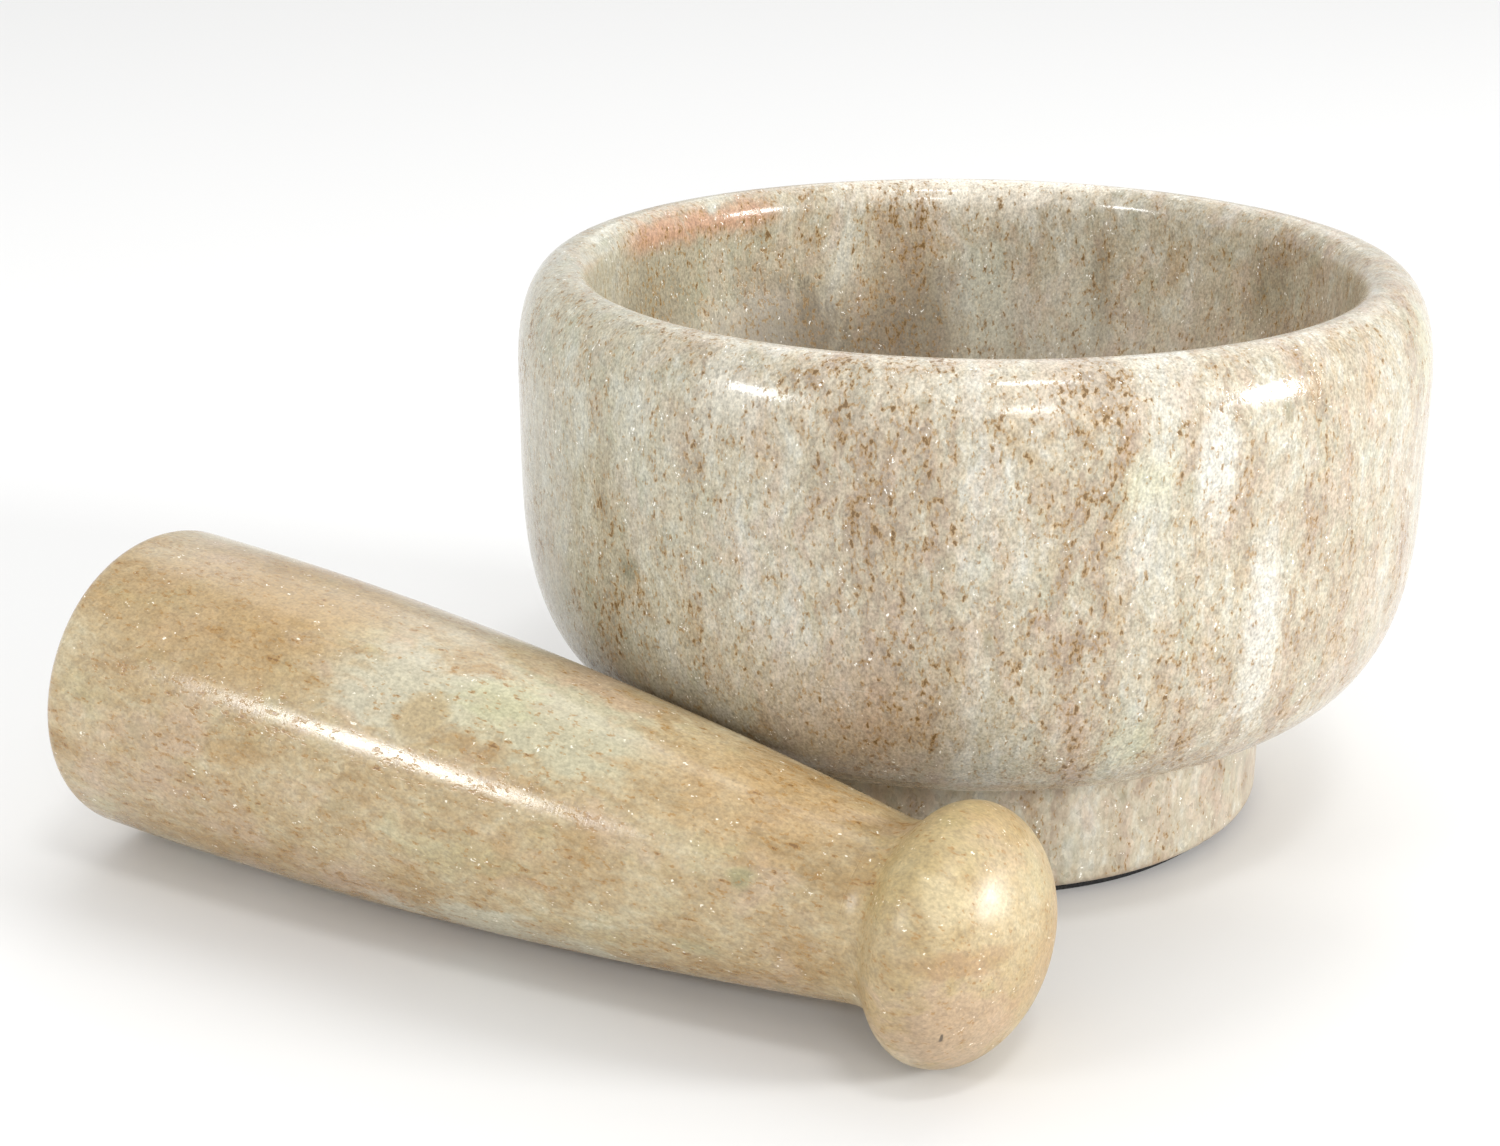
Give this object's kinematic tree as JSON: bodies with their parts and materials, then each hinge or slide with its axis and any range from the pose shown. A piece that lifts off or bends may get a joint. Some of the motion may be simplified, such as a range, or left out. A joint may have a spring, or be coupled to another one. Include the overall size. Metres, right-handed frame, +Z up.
{
  "type": "mortar and pestle",
  "caption": "Turned stone mortar with a rolled lip and a low round foot, and its tapered stone pestle with a rounded knob, for crushing and grinding by hand.",
  "frame": {"origin": "on the bowl's axis, on the underside of the pad the mortar stands on", "axes": "+Z up along the bowl's axis; the pestle lies on the table on the -Y side, its fat end towards -X; +X to the right seen from -Y"},
  "size_m": [0.1491, 0.1284, 0.063],
  "materials": {
    "mortar_stone": "polished grey-beige marble, banded and speckled",
    "pestle_stone": "polished honey-beige marble, clouded",
    "pad_rubber": "matt black non-slip pad"
  },
  "bodies": {
    "mortar_body": {"mortar": "mortar_stone", "foot_pad": "pad_rubber"},
    "pestle_body": {"pestle": "pestle_stone"}
  },
  "joints": [
    {"name": "pestle_lift", "type": "slide", "parent": "mortar_body", "child": "pestle_body", "axis": [-0.3082, -0.6364, 0.7071], "range_m": [0, 0.11]}
  ]
}
